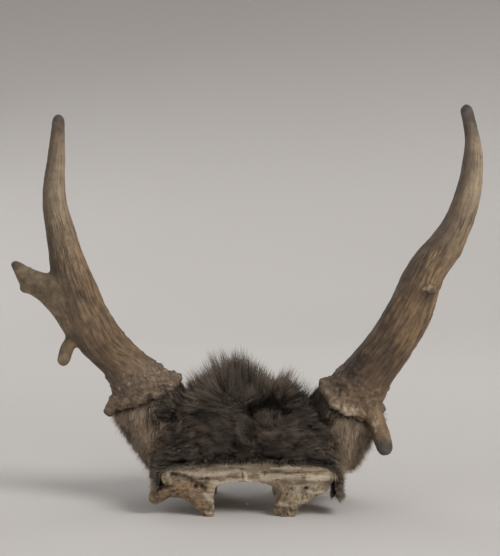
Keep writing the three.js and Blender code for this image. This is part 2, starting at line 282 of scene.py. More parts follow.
def paint(red, green, blue):
    """A colour as it shows on a screen, from 0 to 255, as the renderer's own values."""
    shown = np.array([red, green, blue]) / 255
    return (*np.where(shown <= 0.04045, shown / 12.92, ((shown + 0.055) / 1.055) ** 2.4), 1)


class Surface:
    """A material as it is put together: a call adds nodes and gives what comes out of them."""

    def __init__(self, name, roughness):
        self.material = bpy.data.materials.new(name)
        self.material.use_nodes = True
        self.nodes = self.material.node_tree.nodes
        self.links = self.material.node_tree.links
        self.shader = next(n for n in self.nodes if n.type == "BSDF_PRINCIPLED")
        self.shader.inputs["Roughness"].default_value = roughness

    def add(self, kind, inputs=None, **settings):
        node = self.nodes.new("ShaderNode" + kind)
        for name, value in settings.items():
            setattr(node, name, value)
        for name, value in (inputs or {}).items():
            self.put(value, node.inputs[name])
        return node

    def put(self, value, socket):
        if isinstance(value, bpy.types.NodeSocket):
            self.links.new(value, socket)
        else:
            socket.default_value = value

    def place(self):
        return self.add("TexCoord").outputs["Object"]

    def field(self, name, kind="Fac"):
        return self.add("Attribute", attribute_name=name).outputs[kind]

    def noise(self, scale, at=None, detail=4, roughness=0.6, distortion=0.0):
        inputs = {"Vector": at or self.place(), "Scale": scale, "Detail": detail}
        inputs |= {"Roughness": roughness, "Distortion": distortion}
        return self.add("TexNoise", inputs).outputs["Fac"]

    def creases(self, scale, at, width):
        """1 along thin lines, where a noise crosses its middle, and 0 elsewhere."""
        field = self.noise(scale, at, detail=2, roughness=0.4)
        away = self.math("ABSOLUTE", self.math("SUBTRACT", field, 0.5))
        return self.fade(away, 0, width, 1, 0)

    def stretched(self, at, scale):
        return self.add("Mapping", {"Vector": at, "Scale": scale}).outputs["Vector"]

    def math(self, operation, first, second=0.0, clamp=False):
        node = self.add("Math", {0: first, 1: second}, operation=operation, use_clamp=clamp)
        return node.outputs[0]

    def total(self, *parts):
        """The sum of some values, each given with how much of it counts."""
        total = 0.0
        for value, share in parts:
            total = self.math("ADD", total, self.math("MULTIPLY", value, share))
        return total

    def fade(self, value, low, high, from_value=0.0, to_value=1.0):
        inputs = {"Value": value, 1: low, 2: high, 3: from_value, 4: to_value}
        return self.add("MapRange", inputs, interpolation_type="SMOOTHSTEP").outputs[0]

    def colours(self, value, *stops):
        """A colour for each value: a stop is its place from 0 to 1 and its red, green and blue."""
        node = self.add("ValToRGB", {"Fac": value})
        elements = node.color_ramp.elements
        while len(elements) < len(stops):
            elements.new(1)
        for element, (position, *shade) in zip(elements, stops):
            element.position = position
            element.color = paint(*shade)
        return node.outputs["Color"]

    def mix(self, share, first, second):
        node = self.add("Mix", data_type="RGBA")
        for name, value in (("Factor", share), ("A", first), ("B", second)):
            socket = next(s for s in node.inputs if s.name == name and s.enabled)
            self.put(value, socket)
        return next(s for s in node.outputs if s.enabled)

    def finish(self, colour, height=None, relief=1.0, roughness=None):
        self.put(colour, self.shader.inputs["Base Color"])
        if height is not None:
            bump = self.add("Bump", {"Height": height, "Distance": relief * MM, "Strength": 1.0})
            self.links.new(bump.outputs[0], self.shader.inputs["Normal"])
        if roughness is not None:
            self.put(roughness, self.shader.inputs["Roughness"])
        return self.material


def antler_material():
    """Weathered antler: brown and finely ridged, with pale pearls. It is golden where use has paled
    it and, as painted highlight, on the side facing the key light; painted shade greys the side
    turned away.
    """
    s = Surface("weathered_antler", 0.6)
    flow = s.field("flow", "Vector")
    height = s.field("height")
    smooth = s.field("smooth")
    patches = s.noise(17)
    mottle = s.noise(90, detail=5, roughness=0.65)
    specks = s.noise(420, detail=3, roughness=0.7)
    streaks = s.noise(1.7, s.stretched(flow, (1, 1, 0.8)), detail=5, roughness=0.65)
    lines = s.creases(1.3, s.stretched(flow, (1, 1, 0.7)), 0.08)
    hairlines = s.creases(3.0, s.stretched(flow, (1, 1, 0.5)), 0.1)
    ridged = s.total((lines, 0.6), (hairlines, 0.4))
    clusters = s.noise(1.1, s.stretched(flow, (0.6, 0.6, 1.0)), detail=2)
    for part, low, high, least, most in (
        (s.field("worn_and_lit"), 0.0, 0.7, 0.25, 1.0),
        (clusters, 0.35, 0.6, 0.35, 1.0),
        (smooth, 0.2, 1.0, 1.0, 0.3),
    ):
        ridged = s.math("MULTIPLY", ridged, s.fade(part, low, high, least, most))
    # Tone: darker in the grooves and along fine lines, paler on the worn prong and, as painted
    # highlight, on the side that faces the key light.
    wear_and_highlight = s.total((s.field("groove"), 0.26), (s.field("worn_and_lit"), 0.32), (ridged, -0.3))
    stains = s.total((streaks, 0.42), (patches, 0.55), (mottle, 0.5))
    tone = s.math("ADD", s.math("ADD", wear_and_highlight, stains), -0.4, clamp=True)
    low = s.colours(
        tone, (0.1, 44, 35, 29), (0.34, 74, 60, 48), (0.54, 104, 84, 64), (0.8, 152, 124, 90)
    )
    high = s.colours(
        tone, (0.1, 62, 53, 45), (0.34, 94, 81, 67), (0.54, 120, 104, 84), (0.8, 166, 148, 122)
    )
    colour = s.mix(s.fade(height, 0.3, 0.85), low, high)
    # Painted shade: greys the side turned from the key light.
    colour = s.mix(s.math("MULTIPLY", s.field("shade"), 0.38), colour, paint(76, 67, 58))
    dull = s.colours(mottle, (0.32, 84, 70, 54), (0.5, 118, 103, 82), (0.68, 150, 134, 110))
    colour = s.mix(s.math("MULTIPLY", s.field("dull"), 0.7), colour, dull)
    lumps = s.noise(210, detail=6, roughness=0.75, distortion=0.8)
    crust = s.colours(
        lumps, (0.36, 56, 47, 40), (0.47, 106, 91, 76), (0.57, 150, 132, 110), (0.68, 202, 184, 158)
    )
    crust = s.mix(s.fade(patches, 0.42, 0.62, 0.0, 0.35), crust, paint(86, 70, 62))
    colour = s.mix(s.math("MULTIPLY", s.field("crust"), 0.9), colour, crust)
    colour = s.mix(s.field("soot_and_shade"), colour, paint(44, 38, 34))
    tip = s.colours(mottle, (0.3, 59, 51, 46), (0.7, 106, 96, 87))
    colour = s.mix(s.field("tip"), colour, tip)
    colour = s.mix(s.field("bright"), colour, paint(200, 182, 156))
    colour = s.mix(s.fade(specks, 0.55, 0.8, 0, 0.3), colour, paint(50, 41, 34))
    relief = s.total((specks, 0.5), (ridged, -1.0))
    rough = s.fade(tone, 0.3, 0.8, 0.72, 0.5)
    return s.finish(colour, relief, 1.1, rough)


def bone_material():
    """Dry skull bone: creamy on the saw cut, brown and porous towards its broken rims."""
    s = Surface("dry_bone", 0.72)
    across, upright = [
        s.noise(scale, s.stretched(s.place(), stretch), detail=6, roughness=0.65, distortion=0.8)
        for scale, stretch in ((110, (0.3, 1, 2.0)), (120, (1.6, 1, 0.5)))
    ]
    turned = s.math("MULTIPLY", s.math("SUBTRACT", upright, across), s.field("upright"))
    layers = s.math("ADD", across, turned)
    patches = s.noise(48, detail=5, roughness=0.62)
    grit = s.noise(520, detail=4, roughness=0.7)
    pores = s.add("TexVoronoi", {"Vector": s.place(), "Scale": 620}).outputs["Distance"]
    tone = s.total((layers, 0.5), (patches, 0.55), (grit, 0.25), (1.0, -0.125))
    pale = s.colours(
        tone, (0.36, 80, 67, 54), (0.47, 130, 114, 93), (0.57, 174, 158, 133), (0.7, 220, 206, 182)
    )
    stained = s.colours(
        tone, (0.38, 64, 49, 39), (0.49, 108, 86, 64), (0.59, 144, 118, 88), (0.72, 184, 158, 126)
    )
    stain = s.math("ADD", s.field("stain"), s.fade(patches, 0.45, 0.75, -0.25, 0.25), clamp=True)
    colour = s.mix(stain, pale, stained)
    # Painted shade in the pores.
    colour = s.mix(s.fade(pores, 0.1, 0.28, 0.5, 0), colour, paint(50, 40, 33))
    colour = s.mix(s.field("bright"), colour, paint(232, 220, 198))
    # Painted shade in the hollows, pits and gaps between splinters.
    colour = s.mix(s.field("dark"), colour, paint(46, 37, 31))
    relief = s.total((layers, 1.0), (s.fade(pores, 0.08, 0.28, -0.4, 0), 1.0), (grit, 0.4))
    return s.finish(colour, relief, 1.0)


def hide_material():
    """Dried hide: tan and greasy, dark in its wrinkles and under the fur, with a pale raw edge."""
    s = Surface("dried_hide", 0.7)
    grain = s.noise(300, detail=5, roughness=0.7)
    patches = s.noise(60, detail=5)
    colour = s.colours(
        patches, (0.3, 46, 36, 30), (0.48, 76, 61, 48), (0.62, 104, 84, 66), (0.75, 128, 108, 86)
    )
    colour = s.mix(s.field("dark"), colour, paint(24, 20, 17))
    raw = s.colours(grain, (0.35, 72, 60, 50), (0.65, 160, 144, 122))
    colour = s.mix(s.field("edge"), colour, raw)
    colour = s.mix(s.fade(grain, 0.5, 0.75, 0, 0.4), colour, paint(46, 37, 31))
    return s.finish(colour, grain, 0.8)


def fur_material(name, root, middle, tip, frost, depth):
    """Hair, darkest at its root. Some hairs end in frost, and depth is how dark others stay."""
    s = Surface(name, 0.58)
    along = s.field("along")
    tone = s.field("tone")
    base = s.colours(along, (0.0, *root), (0.4, *middle), (0.95, *tip))
    shade = s.mix(s.fade(tone, 0.0, 0.5, depth, 0.0), base, paint(*root))
    share = s.math("MULTIPLY", s.fade(tone, 0.6, 0.95), s.fade(along, 0.15, 0.8))
    colour = s.mix(share, shade, paint(*frost))
    streaks = s.noise(700, detail=2)
    return s.finish(s.mix(s.fade(streaks, 0.45, 0.75, 0, 0.3), colour, paint(*tip)))


def floor_material():
    """Pale grey, with painted shade that makes it greyer up the wall."""
    s = Surface("pale_studio_floor", 0.9)
    cloud = s.noise(0.7, detail=2)
    height = s.add("SeparateXYZ", {"Vector": s.place()}).outputs["Z"]
    pale = s.colours(cloud, (0.3, 215, 212, 209), (0.7, 221, 218, 216))
    return s.finish(s.mix(s.fade(height, 0.2, 0.95), pale, paint(180, 176, 173)))


# ---- Antlers ----


def middle_line(points, axis, upwards=True):
    """Stations along a limb's middle: their places, directions and lengths from its foot."""
    height = points[:, axis] if upwards else -points[:, axis]
    slabs = np.arange(height.min() + SLAB_STEP / 2, height.max() - SLAB_STEP / 4, SLAB_STEP)
    slices = [points[abs(height - slab) < SLAB_HALF] for slab in slabs]
    centres = np.array([(s.max(0) + s.min(0)) / 2 * 0.5 + s.mean(0) * 0.5 for s in slices])
    for _ in range(LINE_SMOOTHING):
        centres[1:-1] = (centres[:-2] + 2 * centres[1:-1] + centres[2:]) / 4
    ahead = unit(centres[-1] - centres[-3])
    back = unit(centres[0] - centres[2])
    past_foot, past_tip = LINE_ENDS
    first, last = centres[0] + back * past_foot, centres[-1] + ahead * past_tip
    centres = np.concatenate([[first], centres, [last]])
    lengths = np.concatenate([[0], np.cumsum(np.linalg.norm(np.diff(centres, axis=0), axis=1))])
    even = np.arange(0, lengths[-1], LINE_STEP)
    places = np.stack([np.interp(even, lengths, centres[:, k]) for k in range(3)], axis=1)
    return places, unit(np.gradient(places, axis=0)), even


def round_line(points, line):
    """Each point's length along a middle line, its angle round it and its distance from it."""
    places, directions, lengths = line
    nearest = np.concatenate([
        np.argmin(((chunk[:, None] - places[None, ::4]) ** 2).sum(2), axis=1) * 4
        for chunk in np.array_split(points, max(1, len(points) // 4000))
    ])
    away, ahead = points - places[nearest], directions[nearest]
    along = (away * ahead).sum(1)
    flat = away - along[:, None] * ahead
    depth = unit([0, 1, 0] - ahead * ahead[:, 1:2])
    side = np.cross(depth, ahead)
    angle = np.arctan2((flat * depth).sum(1), (flat * side).sum(1))
    return lengths[nearest] + along, angle, np.linalg.norm(flat, axis=1)


def beyond_beam(along, distance):
    """1 where a point is too far from the middle line to be the beam's own: on a knob or a stub."""
    station = np.clip(along / KNOB_STEP, 0, None).astype(int)
    usual = np.ones(station.max() + 1)
    for k in np.unique(station):
        usual[k] = np.median(distance[station == k])
    return ramp(distance / usual[station], *KNOB_SHARES)


def grain_space(along, angle, turns, stretch):
    """A space in which noise makes grooves along a limb, with no seam round it."""
    return np.stack([np.cos(angle) * turns, np.sin(angle) * turns, along / stretch], axis=1)


def grooves(space, seed):
    """From 0 at the bottom of a groove to about 1 on top of a ridge."""
    bent = space + 0.16 * swirl(space, 2.5, seed + 20)
    broad = np.clip(np.abs(noise(bent, 1.0, seed)) * 2.2, 0, 1) ** 0.7
    fine = np.clip(np.abs(noise(bent, 0.55, seed + 1)) * 2.2, 0, 1) ** 0.7
    return 0.6 * broad + 0.4 * fine


def pearls(points, chance, sizes, spacing, seed):
    """Heights of round beads that are scattered over the points where chance allows them."""
    rng = np.random.default_rng(seed)
    order = rng.permutation(len(points))[: len(points) // 3]
    order = order[rng.random(len(order)) < chance[order]]
    tree = tree_of_points(points)
    heights = np.zeros(len(points))
    taken = np.zeros(len(points), bool)
    for i in order:
        if taken[i]:
            continue
        radius = rng.uniform(*sizes)
        for _, j, _ in tree.find_range(points[i], radius * spacing):
            taken[j] = True
        for _, j, away in tree.find_range(points[i], radius):
            heights[j] = max(heights[j], radius * 0.75 * math.sqrt(1 - (away / radius) ** 2))
    return heights


def antler_surface(beam, prong):
    """The beam and its prong as one even surface, as large as the two solids."""
    points, faces = grown(beam, SEAM_GROWTH)
    more_points, more_faces = grown(prong, SEAM_GROWTH)
    faces = np.concatenate([faces, more_faces + len(points)])
    solid = np.concatenate([points, more_points]), faces
    points, faces, normals = evened(solid, ANTLER_VOXEL, ANTLER_SMOOTHING)
    return points - SEAM_GROWTH * normals, faces


def spots(points, places, seed):
    """1 in ragged spots, each given by its middle and radius, and 0 elsewhere."""
    total = np.zeros(len(points))
    for middle, radius in places:
        away = np.linalg.norm(points - middle, axis=1)
        ragged = 0.55 * radius * layered(points, 4, seed, 2)
        total = np.maximum(total, 1 - ramp(away + ragged, 0.3 * radius, radius))
    return total


def antler(name, beam_node, prong_node, prong_axis, look, seed):
    """One antler with its prong: an even surface with grooves, ridges and pearls pushed out."""
    beam, prong = cad_solid(beam_node), cad_solid(prong_node)
    burr = look["burr"]
    points, faces = antler_surface(beam, prong)
    normals = normals_of(points, faces)
    on_prong = reach_to(tree_of(prong_node), points) - reach_to(tree_of(beam_node), points)
    share = averaged(1 - ramp(on_prong, -3, 3), edges_of(faces), PRONG_BLENDING)
    beam_along, beam_angle, distance = round_line(points, middle_line(remeshed(beam, 3)[0], 2))
    prong_line = middle_line(remeshed(prong, 3)[0], prong_axis, False)
    prong_along, prong_angle, _ = round_line(points, prong_line)
    height = ramp(points[:, 2], burr[2], TIP_HEIGHT)
    knob = beyond_beam(beam_along, distance) * (1 - share)
    from_burr = np.linalg.norm(points - burr, axis=1)
    crust = look["crust"] * (1 - ramp(from_burr + 8 * noise(points, 16, seed + 8), *CRUST_REACH))
    foot = 1 - ramp(from_burr, *FOOT_REACH)
    smooth = np.max([knob, 0.65 * share, 0.8 * ramp(height, 0.3, 0.9), 0.5 * foot], axis=0)
    # Painted highlight: paler and golden on the side that faces the key light, where the ridges are
    # also cut deeper. On the prong it is the prong's real wear.
    toward_light = normals @ unit(LIT_SIDE)
    worn_and_lit = look["wear_and_highlight"] * ramp(toward_light + 0.5 * noise(points, 34, seed + 10), -0.1, 1.0)
    worn_and_lit = worn_and_lit * (1 - 0.5 * knob) * (1 - share) + look["prong_wear"] * share

    beam_space = grain_space(beam_along, beam_angle, *BEAM_GRAIN)
    prong_space = grain_space(prong_along, prong_angle, *PRONG_GRAIN) + PRONG_OFFSET
    groove = grooves(beam_space, seed) * (1 - share) + grooves(prong_space, seed + 5) * share
    flow = np.where(share[:, None] > 0.5, prong_space, beam_space)
    flutes = noise(grain_space(beam_along, beam_angle, *FLUTE_GRAIN), 1.0, seed + 6) * (1 - smooth)
    cut_depth = RIDGE_DEPTH * (1 - smooth) * (1 - 0.4 * crust) * (0.4 + 0.6 * worn_and_lit)
    ridges = cut_depth * (groove - groove.mean())
    lumps = 0.35 * noise(points, 22, seed + 3) + noise(points, 7, seed + 4) * (0.2 + 1.4 * crust)
    lumps = lumps + 1.1 * crust * noise(points, 3.6, seed + 15)
    beads = pearls(points, 0.002 + 0.3 * crust, PEARLS, 0.9, seed)
    beads = beads * (0.75 + 0.4 * noise(points, 5, seed + 12))
    out = ridges + FLUTE_DEPTH * flutes + lumps + 0.55 * (beads - beads.mean())
    bright = spots(points, look["chips"], seed + 7)
    smudged = spots(points, look["smudges"], seed + 9)
    scuffed = spots(points, look["scuffs"], seed + 17)
    low_down = (1 - ramp(from_burr, 50, 115)) * (1 - share)
    # Dark soiling at the beam's foot, gathered on the side turned from the key light, so it is
    # partly painted shade.
    soot_and_shade = 0.55 * foot * ramp(noise(points, 20, seed + 14) - 0.5 * toward_light, 0.1, 0.7)
    points = points + normals * out[:, None]

    out_along = -points[:, prong_axis] + 4 * noise(points, 9, seed + 16)
    beam_tip = ramp(points[:, 2], *look["beam_tip"])
    prong_tip = ramp(out_along, *look["prong_tip"]) * share
    crusted = crust * (0.75 + 0.3 * noise(points, 9, seed + 13)) + 0.35 * ramp(beads, 0.8, 2)
    # Painted shade: greyer on the side turned from the key light, less so on the prong.
    turned_from_light = ramp(-toward_light + 0.4 * noise(points, 25, seed + 11), -0.1, 0.9)
    fields = {
        "groove": np.clip(groove * (1 - smooth) + 0.5 * smooth, 0, 1),
        "flow": flow,
        "height": height,
        "smooth": smooth,
        "crust": np.clip(crusted, 0, 1),
        "bright": 0.7 * bright,
        "worn_and_lit": worn_and_lit * (1 - 0.5 * low_down),
        "dull": np.max([knob, share * look["prong_dullness"], scuffed], axis=0),
        "shade": turned_from_light * (1 - 0.8 * share),
        "soot_and_shade": np.maximum(soot_and_shade, 0.8 * smudged),
        "tip": np.maximum(beam_tip, prong_tip),
    }
    obj = mesh_object(name, points, faces, antler_material(), fields)
    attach(obj, "root")
    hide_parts(beam_node, prong_node)


# A beam's tip turns dark between two heights, the left prong's between two values of -X and the
# right one's of -Z. Chips are pale broken places, scuffs pale rubbed ones and smudges blackened
# ones: where they are and how wide.
LEFT = {
    "burr": (-101.5, 8, 110),
    "crust": 1.0,
    # how strongly the side facing the key light is painted paler as a highlight, with deeper ridges
    # there
    "wear_and_highlight": 0.75,
    "beam_tip": (366, 390),
    "prong_tip": (226, 236),
    "prong_wear": 0.15,
    "prong_dullness": 1.0,
    "chips": [((-120, -24, 126), 5), ((-131, -16, 120), 4), ((-112, -28, 120), 4)],
    "scuffs": [((-124, -22, 124), 13)],
    "smudges": [((-84, -22, 124), 9), ((-98, -30, 112), 8)],
}
RIGHT = {
    "burr": (103, 5, 103),
    "crust": 0.5,
    # how strongly the side facing the key light is painted paler as a highlight, with deeper ridges
    # there
    "wear_and_highlight": 1.0,
    "beam_tip": (362, 394),
    "prong_tip": (-75, -68),
    "prong_wear": 1.0,
    "prong_dullness": 0.2,
    "chips": [
        ((88, -24, 101), 7), ((96, -26, 98), 8), ((105, -28, 98), 7),
        ((125, -22, 91), 4), ((124, -34, 88), 7), ((176, -50, 222), 6),
    ],
    "scuffs": [((90, -26, 108), 15), ((104, -30, 106), 11)],
    "smudges": [((101, -22, 138), 14), ((110, -24, 150), 10), ((92, -22, 122), 8)],
}


# ---- Skull ----


def from_path(points, path):
    """How far points are from a path, both seen from the front: pairs of X and Z."""
    path = np.array(path, float)
    flat = points[:, [0, 2]]
    best = np.full(len(points), 1e9)
    for start, end in zip(path[:-1], path[1:]):
        step = end - start
        share = np.clip((flat - start) @ step / (step @ step), 0, 1)
        best = np.minimum(best, np.linalg.norm(flat - start - share[:, None] * step, axis=1))
    return best


# What is cut into the sawn front: a path of X and Z, half its width, its depth and the strength of
# the painted shade in it.
HOLLOWS = [
    ([(-73, 41), (-62, 39.5), (-55, 36.5), (-48, 32), (-42, 28)], 2.7, 3.0, 0.55),  # brow groove
    ([(-50.5, 30), (-50.3, 29.8)], 2.8, 5.0, 0.8),  # foramen below it
    ([(-43.5, 26.5), (-42, 26)], 2.2, 2.0, 0.4),
    ([(-50, 37), (-39, 37.3), (-29, 38.3), (-19, 39.3), (-9, 40.3)], 0.6, 1.2, 0.5),  # long crack
    ([(-5.8, 47), (-4.8, 43.2), (-4.3, 39.3)], 0.9, 1.6, 0.5),  # suture
    ([(-82, 30.5), (-75, 30)], 1.5, 2.2, 0.5),
    ([(-74, 25), (-71.5, 24.6)], 1.3, 1.6, 0.5),
    ([(13, 44.2), (21, 43.6), (30, 43.8)], 0.7, 1.2, 0.45),
    ([(34, 42), (42.3, 43), (51, 44.4)], 0.7, 1.2, 0.4),
    ([(34, 32.6), (49, 31.9)], 0.9, 1.3, 0.4),
    ([(51, 33), (66, 34.5), (79, 33.5)], 1.0, 1.4, 0.35),
    ([(56.3, 28), (57.5, 28.2)], 1.9, 3.0, 0.7),
    ([(42.3, 28), (43.5, 27)], 1.2, 2.0, 0.5),
    ([(37.5, 22.6), (36.6, 20.4)], 1.2, 1.8, 0.5),
    ([(24, 8.6), (36, 9.0)], 1.2, 1.6, 0.3),
]
# What stands out of it and is paler.
CRESTS = [
    ([(-64, 44), (-44, 41.5), (-26, 42.5), (-16, 44.6), (-9, 45.4)], 2.4, 0.7, 0.6),
    ([(-36, 34.5), (-20, 36), (-9, 37)], 1.6, 0.5, 0.5),
    ([(-12, 47), (-2.5, 44), (-1.5, 38), (4, 36)], 1.5, 1.0, 0.7),
    ([(-78, 44), (-76, 36), (-74, 33)], 1.4, 0.8, 0.35),
    ([(-42, 22.6), (-38, 18), (-33.5, 13.8), (-31, 6)], 2.2, 0.9, 0.45),
    ([(22, 47.5), (36, 48.6), (51, 48.4)], 0.9, 0.8, 0.9),
    ([(14, 40.5), (36, 40), (50, 39)], 2.6, 0.5, 0.5),
    ([(59, 38.3), (69, 37.5), (77.5, 39)], 3.8, 1.0, 0.7),
    ([(57.9, 25.8), (64.7, 23.4), (72.4, 24.8)], 1.3, 1.0, 0.5),
    ([(32, 12.5), (37, 11.5)], 3.2, 0.8, 0.5),
]
FLUTE_WIDTH = 4.1  # of the splinters on the right wall and its foot
LIP_DROP = 2.2  # how much lower the forehead's thin edge hangs than the remesh leaves it
# Where the right wall is worn in: a place's middle in X and Z, its half width and half height,
# the share of them that is worn to the full depth, and that depth.
NOTCHES = [((27, 22), (12.8, 8), 0.25, 5), ((25, 0), (18, 9), 2 / 9, 6)]


def marks(points, paths):
    """Depth and strength at each point of marks that are painted and pushed along paths."""
    depth, strength = np.zeros(len(points)), np.zeros(len(points))
    ragged = 0.5 * noise(points, 3, 90)
    for path, half_width, size, share in paths:
        inside = 1 - ramp(from_path(points, path) + ragged, 0.35 * half_width, 1.25 * half_width)
        depth = np.maximum(depth, size * inside)
        strength = np.maximum(strength, share * inside)
    return depth, strength


def flutes(points):
    """Gaps between the right wall's splinters, and where they are: at its foot and above it."""
    x, z = points[:, 0], points[:, 2]
    wave = 0.5 + 0.5 * np.cos(2 * math.pi * (x + 4.5 * noise(points, 9, 95)) / FLUTE_WIDTH)
    on_wall = ramp(x, 22, 26) * (1 - ramp(x, 50, 54))
    foot = 1 - ramp(z + noise(points, 6, 96), 7, 10)
    wall = ramp(z, 15, 18) * (1 - ramp(z, 30, 33)) * (1 - ramp(x, 46, 50))
    return 1 - wave, on_wall * foot, on_wall * wall


def skull():
    points, faces, normals = evened(cad_solid("skull_plate"), SKULL_VOXEL, SKULL_SMOOTHING)
    x, z = points[:, 0].copy(), points[:, 2].copy()
    front = 1 - ramp(points[:, 1], FRONT_FACE + 3, FRONT_FACE + 9)
    broken = front * np.maximum(ramp(-x, 36, 46), 0.7 * (1 - ramp(z, 12, 24)))
    off_floor = ramp(z, 0.3, 5)
    rough = 0.45 * layered(points, 12, 50) + 0.3 * noise(points, 3.5, 60)
    rough = rough + broken * 1.1 * noise(points, 6, 61)
    pits = pearls(points, 0.02 + 0.5 * broken, (0.9, 1.9), 1.5, 62)
    hollow, dark = marks(points, HOLLOWS)
    crest, bright = marks(points, CRESTS)
    between, foot, wall = flutes(points)
    facing = front * ramp(-normals[:, 1], 0.2, 0.7)
    points = points + normals * ((rough * off_floor - 0.8 * pits) * ramp(z, 0.2, 2))[:, None]
    split = front * between * (1.5 * foot + 0.8 * wall) * ramp(z, 0.2, 1.5)
    points = points - normals * split[:, None]
    points[:, 1] += facing * (hollow - crest)
    sawn = 0.9 * noise(np.stack([x, z * 0, z * 0], axis=1), 4, 97) - LIP_DROP
    points[:, 2] += front * sawn * (1 - ramp(abs(z - 35), 3, 7)) * (1 - ramp(abs(x + 3), 27, 33))
    for (middle_x, middle_z), (wide, high), core, depth in NOTCHES:
        away = np.hypot((x - middle_x) / wide, (z - middle_z) / high)
        points[:, 0] += front * depth * (1 - ramp(away, core, 1))
    points[:, 2] = np.maximum(points[:, 2], 0)
    orange = ramp(-x, 34, 44) * (1 - ramp(z, 30, 42))
    orange = orange + 0.7 * ramp(x, 20, 24) * (1 - ramp(x, 30, 60)) * (1 - ramp(z, 12, 34))
    # Painted shade in the hollows, in the pits and in the gaps between the splinters.
    dark = facing * dark + 0.6 * ramp(pits, 0.4, 1.3) + front * between * (0.5 * foot + 0.3 * wall)
    fields = {
        "upright": (1 - ramp(z, 28, 34)) * ramp(x, 20, 26),
        "stain": np.clip(0.12 + 0.9 * front * orange + 0.3 * (1 - front), 0, 1),
        "dark": np.clip(dark, 0, 1),
        "bright": facing * bright * (0.75 + 0.25 * noise(points, 2.5, 98)),
    }
    obj = mesh_object("sawn_skull", points, faces, bone_material(), fields)
    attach(obj, "root")
    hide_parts("skull_plate")


# ---- Scalp ----


# Where the long dark fur ends and the short tan hair begins, up each side: pairs of Z and X.
LEFT_FUR_EDGE = [(46, -92), (56, -91), (68, -84), (85, -89), (100, -97), (117, -104)]
RIGHT_FUR_EDGE = [(46, 83), (70, 83), (90, 86), (110, 90)]
FUR_EDGE_BLEND = 11  # on either side of that edge


def bare_sides(places):
    """1 on the sides of the head, below the antlers, where the hair is short and tan."""
    x = places[:, 0] + 9 * noise(places, 20, 81) + 5 * noise(places, 8, 82)
    left, right = [np.interp(places[:, 2], *zip(*edge)) for edge in (LEFT_FUR_EDGE, RIGHT_FUR_EDGE)]
    past = np.where(x < 0, left - x, x - right)
    return ramp(past, -FUR_EDGE_BLEND, FUR_EDGE_BLEND) * ramp(places[:, 2], 36, 46)


def scalp():
    points, faces, normals = evened(cad_solid("scalp_skin"), SCALP_VOXEL, SCALP_SMOOTHING)
    points = points + normals * (0.6 * layered(points, 9, 70))[:, None]
    front = 1 - ramp(points[:, 1], FRONT_FACE - 0.5, FRONT_FACE + 2.5)
    dark = 1 - bare_sides(points) - front + 0.3 * ramp(noise(points, 14, 75), 0.1, 0.6)
    fields = {
        "dark": np.clip(dark, 0, 1),
        "edge": front * ramp(noise(points, 9, 77), -0.3, 0.4),
    }
    obj = mesh_object("dried_scalp", points, faces, hide_material(), fields)
    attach(obj, "root")
    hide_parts("scalp_skin")


# ---- Fur ----

LONG_PLACES = 228000  # drawn over the scalp: about a third of them keep a long hair
SIDE_PLACES = 270000  # and of these about one in seven keeps a short one
OUTER_SIDE = 2.4  # the scalp's outer side is further than this from the skull
HAIR_WIDTHS = (0.32, 0.55)
BURR_HAIR = (8, 17)  # length of the hair that stands over a burr's edge
BURR_EDGE = (37, 43)  # distances from a burr's middle between which that hair thins out
LONG_RINGS = 4  # points along a hair
SIDE_RINGS = 3
SMALL_LOCKS = 6000
LARGE_LOCKS = 900
SIDE_LOCKS = 1500
SIDE_LENGTH = (6, 15)
FLAP_LENGTH = (6, 12)
FLAP_TOP = (44, 52)  # a flap's hair is full below the first height, and none above the other
FLAP_SIDE = (75, 81)  # it begins and is full at these distances from the middle
LONG_LENGTH = (5, 58)
CROWN_HEIGHT = (90, 112)  # the hair of the crown begins and is full at these heights
CROWN_DEPTH = (-34, 2)  # and at these Y
CROWN_FRONT = 12  # Y where the pieces of the crown meet the forehead's
CROWN_FLOW = (0, 0.1, 1.0)  # the way that the hair lies
FOREHEAD_FLOW = (0, -0.1, -0.75)
SIDE_FLOW = (0, -0.35, -1)
BURR_FLOW = (0, -0.3, 1)
FRINGE_HEIGHT = 49  # the hair over the sawn forehead ends about here
FRINGE_HALF_WIDTH = 79
WISPS = 0.022  # share of hairs that stand out of their locks, and more on the crown
SIDE_WISPS = 0.12
FAN_SPREAD = 72  # a hair as far as this from the middle of the crown leans out by 45 degrees
# How high the hair stands behind the forehead: pairs of X and Z across the head.
CROWN_TOP = [
    (-80, 112), (-63, 121), (-58, 130), (-51, 128), (-44, 137), (-36, 146), (-27, 150),
    (-20, 148), (-11, 155), (-4, 150), (4, 142), (15, 135), (24, 126), (30, 123), (37, 131),
    (46, 136), (52, 133), (56, 120), (80, 110),
]
SPIKES = 10  # how far single hairs stand above that
COAT_REACH = 76  # how far the hair stands from the middle, in front and behind


def skin_outside(count, seed):
    """Of count places drawn over the scalp, those on its outer side and the way they face."""
    points, faces = cad_solid("scalp_skin")
    a, b, c = points[faces].transpose(1, 0, 2)
    across = np.cross(b - a, c - a)
    area = np.linalg.norm(across, axis=1)
    facing = unit(across)
    rng = np.random.default_rng(seed)
    chosen = rng.choice(len(faces), count, p=area / area.sum())
    first, second = rng.random((2, len(chosen)))
    folded = first + second > 1
    first[folded], second[folded] = 1 - first[folded], 1 - second[folded]
    a, b, c = a[chosen], b[chosen], c[chosen]
    places = a + (b - a) * first[:, None] + (c - a) * second[:, None]
    outer = reach_to(tree_of("skull_plate"), places) > OUTER_SIDE
    return places[outer], facing[chosen][outer]


